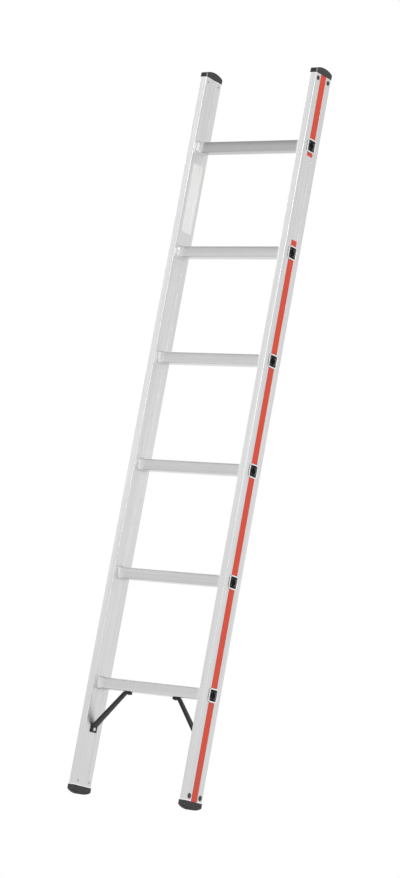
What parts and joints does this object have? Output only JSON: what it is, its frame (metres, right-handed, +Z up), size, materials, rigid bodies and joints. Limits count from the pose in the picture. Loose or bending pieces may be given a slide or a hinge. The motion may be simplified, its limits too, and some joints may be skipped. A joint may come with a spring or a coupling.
{
  "type": "single section ladder",
  "caption": "Straight leaning ladder of box-section aluminium stiles and square beaded rungs, with dark end caps, grooved feet, red side stripes and bottom-rung braces.",
  "frame": {"origin": "on the floor, midway between the two feet, with the ladder standing upright", "axes": "+Z up along the stiles, +X along the rungs to the climber's right, +Y away from the climber, towards the wall that the ladder leans on"},
  "size_m": [0.374, 0.0688, 1.885],
  "materials": {
    "stile_aluminium": "satin extruded mill finish",
    "rung_aluminium": "satin extruded mill finish",
    "cap_plastic": "dark grey moulded plastic",
    "foot_rubber": "dark grey moulded rubber",
    "plug_plastic": "black moulded plastic",
    "end_rivet": "dark coated rivet",
    "brace_paint": "dark grey powder coat",
    "bright_rivet": "bare rivet",
    "dark_rivet": "dark coated rivet",
    "stripe_film": "red adhesive film"
  },
  "bodies": {
    "root": {"rung_1": "rung_aluminium", "rung_2": "rung_aluminium", "rung_3": "rung_aluminium", "rung_4": "rung_aluminium", "rung_5": "rung_aluminium", "rung_6": "rung_aluminium", "stile_left": "stile_aluminium", "top_cap_left": "cap_plastic", "foot_left": "foot_rubber", "foot_rivets_left": "end_rivet", "top_cap_rivets_left": "end_rivet", "rung_plug_left_1": "plug_plastic", "rung_plug_left_2": "plug_plastic", "rung_plug_left_3": "plug_plastic", "rung_plug_left_4": "plug_plastic", "rung_plug_left_5": "plug_plastic", "rung_plug_left_6": "plug_plastic", "brace_left": "brace_paint", "brace_stile_rivet_left": "bright_rivet", "brace_rung_rivet_left": "dark_rivet", "side_stripe_left": "stripe_film", "stile_right": "stile_aluminium", "top_cap_right": "cap_plastic", "foot_right": "foot_rubber", "foot_rivets_right": "end_rivet", "top_cap_rivets_right": "end_rivet", "rung_plug_right_1": "plug_plastic", "rung_plug_right_2": "plug_plastic", "rung_plug_right_3": "plug_plastic", "rung_plug_right_4": "plug_plastic", "rung_plug_right_5": "plug_plastic", "rung_plug_right_6": "plug_plastic", "brace_right": "brace_paint", "brace_stile_rivet_right": "bright_rivet", "brace_rung_rivet_right": "dark_rivet", "side_stripe_right": "stripe_film"}
  },
  "joints": []
}
